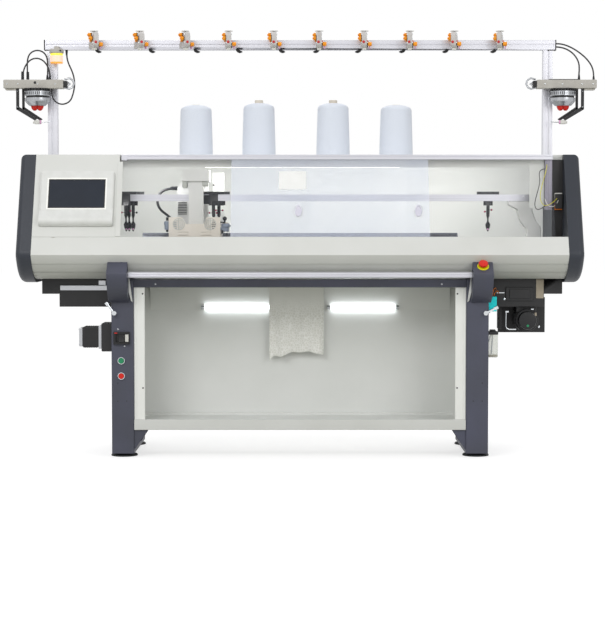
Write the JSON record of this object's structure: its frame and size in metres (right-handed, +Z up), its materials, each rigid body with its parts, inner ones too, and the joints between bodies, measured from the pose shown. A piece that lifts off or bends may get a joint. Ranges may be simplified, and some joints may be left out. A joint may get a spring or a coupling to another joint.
{
  "type": "flat knitting machine",
  "caption": "Free-standing flat knitting machine: carriage over V needle beds behind clear sliding doors, yarn gantry with cones on top, fabric bay between two legs.",
  "frame": {"origin": "centre of the footprint on the floor", "axes": "+X along the needle beds to the right as seen from the front, +Y to the back, +Z up"},
  "size_m": [2.714, 0.94, 1.92],
  "materials": {
    "cover_paint": "satin pale grey powder coat",
    "end_paint": "satin blue-grey powder coat",
    "leg_paint": "fine textured slate powder coat",
    "panel_paint": "satin warm grey powder coat",
    "liner_paint": "satin white powder coat",
    "carriage_paint": "satin beige enamel",
    "bridge_paint": "satin white enamel",
    "dark_steel": "black oxide",
    "bright_steel": "ground steel",
    "rail_aluminium": "anodised",
    "chrome_trim": "polished",
    "clear_pane": "clear acrylic",
    "screen_glass": "dark touch glass",
    "lamp_tube": "lit frosted tube",
    "black_plastic": "moulded",
    "grey_plastic": "moulded",
    "controller_grey": "satin",
    "orange_plastic": "moulded",
    "red_plastic": "moulded",
    "green_plastic": "moulded",
    "amber_plastic": "moulded, translucent",
    "cable_rubber": "black sheath",
    "yarn": "wound yarn",
    "knit": "knitted fabric",
    "foot_rubber": "levelling foot",
    "oil_plastic": "clear bottle with dark cap"
  },
  "bodies": {
    "root": {"stand_legs": "leg_paint", "levelling_feet": "foot_rubber", "bottom_tray": "cover_paint", "bay_liner": "liner_paint", "light_tubes": "lamp_tube", "cross_beam": "leg_paint", "bar_brackets": "leg_paint", "control_fittings": "chrome_trim", "end_covers": "end_paint", "front_cover": "cover_paint", "rear_cover": "panel_paint", "top_deck": "panel_paint", "top_rail": "rail_aluminium", "console_cover": "cover_paint", "console_bezel": "cover_paint", "screen_glass": "screen_glass", "centre_pane": "clear_pane", "machine_bed": "panel_paint", "front_needle_bed": "bright_steel", "rear_needle_bed": "bright_steel", "carriage_rails": "bright_steel", "carrier_rails": "bright_steel", "rail_supports": "bridge_paint", "side_boxes": "dark_steel", "drive_motor": "dark_steel", "takedown_motor": "black_plastic", "oil_bottle": "oil_plastic", "gantry_posts": "rail_aluminium", "yarn_rail": "rail_aluminium", "signal_lamp": "amber_plastic", "yarn_controllers": "controller_grey", "controller_knobs": "orange_plastic", "storage_feeders": "grey_plastic", "yarn_cones": "yarn", "knitted_fabric": "knit", "feeder_cables": "cable_rubber", "end_wiring": "black_plastic"},
    "carriage": {"carriage_front": "carriage_paint", "carriage_rear": "carriage_paint", "carriage_bridge": "bridge_paint", "carriage_hose": "cable_rubber"},
    "left_door": {"left_door": "clear_pane"},
    "right_door": {"right_door": "clear_pane"},
    "operating_bar": {"operating_bar": "rail_aluminium"},
    "e_stop_button": {"e_stop_button": "red_plastic"},
    "start_button": {"start_button": "green_plastic"},
    "stop_button": {"stop_button": "red_plastic"},
    "power_rocker": {"power_rocker": "black_plastic"},
    "left_clamp_lever": {"left_clamp_lever": "chrome_trim"},
    "right_clamp_lever": {"right_clamp_lever": "chrome_trim"},
    "takedown_front_roller": {"takedown_front_roller": "cable_rubber"},
    "takedown_rear_roller": {"takedown_rear_roller": "cable_rubber"},
    "left_feeder_drum": {"left_feeder_drum": "bright_steel"},
    "right_feeder_drum": {"right_feeder_drum": "bright_steel"},
    "yarn_carrier_1": {"yarn_carrier_1": "black_plastic"},
    "yarn_carrier_2": {"yarn_carrier_2": "black_plastic"},
    "yarn_carrier_3": {"yarn_carrier_3": "black_plastic"},
    "yarn_carrier_4": {"yarn_carrier_4": "black_plastic"},
    "yarn_carrier_5": {"yarn_carrier_5": "black_plastic"},
    "yarn_carrier_6": {"yarn_carrier_6": "black_plastic"}
  },
  "joints": [
    {"name": "carriage_slide", "type": "slide", "parent": "root", "child": "carriage", "axis": [1, 0, 0], "range_m": [-0.45, 1.4]},
    {"name": "left_door_slide", "type": "slide", "parent": "root", "child": "left_door", "axis": [1, 0, 0], "range_m": [0, 0.425]},
    {"name": "right_door_slide", "type": "slide", "parent": "root", "child": "right_door", "axis": [1, 0, 0], "range_m": [-0.425, 0]},
    {"name": "operating_bar_turn", "type": "hinge", "parent": "root", "child": "operating_bar", "pos_m": [0, -0.408, 0.813], "axis": [1, 0, 0], "range_deg": [-15, 15], "stiffness_Nm_per_rad": 2},
    {"name": "e_stop_press", "type": "slide", "parent": "root", "child": "e_stop_button", "axis": [0, 0.6379, -0.7701], "range_m": [0, 0.006], "stiffness_N_per_m": 400},
    {"name": "start_press", "type": "slide", "parent": "root", "child": "start_button", "axis": [0, 1, 0], "range_m": [0, 0.003], "stiffness_N_per_m": 300},
    {"name": "stop_press", "type": "slide", "parent": "root", "child": "stop_button", "axis": [0, 1, 0], "range_m": [0, 0.003], "stiffness_N_per_m": 300},
    {"name": "power_rocker_tilt", "type": "hinge", "parent": "root", "child": "power_rocker", "pos_m": [-0.791, -0.36, 0.531], "axis": [1, 0, 0], "range_deg": [0, 12]},
    {"name": "left_clamp_turn", "type": "hinge", "parent": "root", "child": "left_clamp_lever", "pos_m": [-0.822, -0.36, 0.642], "axis": [0, 1, 0], "range_deg": [-90, 0]},
    {"name": "right_clamp_turn", "type": "hinge", "parent": "root", "child": "right_clamp_lever", "pos_m": [0.822, -0.36, 0.642], "axis": [0, 1, 0], "range_deg": [-10, 80]},
    {"name": "front_roller_spin", "type": "hinge", "parent": "root", "child": "takedown_front_roller", "pos_m": [0, -0.0795, 0.805], "axis": [1, 0, 0], "continuous": true},
    {"name": "rear_roller_spin", "type": "hinge", "parent": "root", "child": "takedown_rear_roller", "pos_m": [0, -0.0405, 0.805], "axis": [1, 0, 0], "continuous": true},
    {"name": "left_drum_spin", "type": "hinge", "parent": "root", "child": "left_feeder_drum", "pos_m": [-1.206, -0.01, 1.6], "axis": [0, 0, 1], "continuous": true},
    {"name": "right_drum_spin", "type": "hinge", "parent": "root", "child": "right_feeder_drum", "pos_m": [1.206, -0.01, 1.6], "axis": [0, 0, 1], "continuous": true},
    {"name": "carrier_1_slide", "type": "slide", "parent": "root", "child": "yarn_carrier_1", "axis": [1, 0, 0], "range_m": [-0.13, 0.29]},
    {"name": "carrier_2_slide", "type": "slide", "parent": "root", "child": "yarn_carrier_2", "axis": [1, 0, 0], "range_m": [-0.14, 1.53]},
    {"name": "carrier_3_slide", "type": "slide", "parent": "root", "child": "yarn_carrier_3", "axis": [1, 0, 0], "range_m": [-0.16, 0.28]},
    {"name": "carrier_4_slide", "type": "slide", "parent": "root", "child": "yarn_carrier_4", "axis": [1, 0, 0], "range_m": [-0.29, 1.32]},
    {"name": "carrier_5_slide", "type": "slide", "parent": "root", "child": "yarn_carrier_5", "axis": [1, 0, 0], "range_m": [-0.28, 1.29]},
    {"name": "carrier_6_slide", "type": "slide", "parent": "root", "child": "yarn_carrier_6", "axis": [1, 0, 0], "range_m": [-1.53, 0.06]}
  ],
  "couplings": [
    {"joint": "rear_roller_spin", "follows": "front_roller_spin", "ratio": -1}
  ]
}
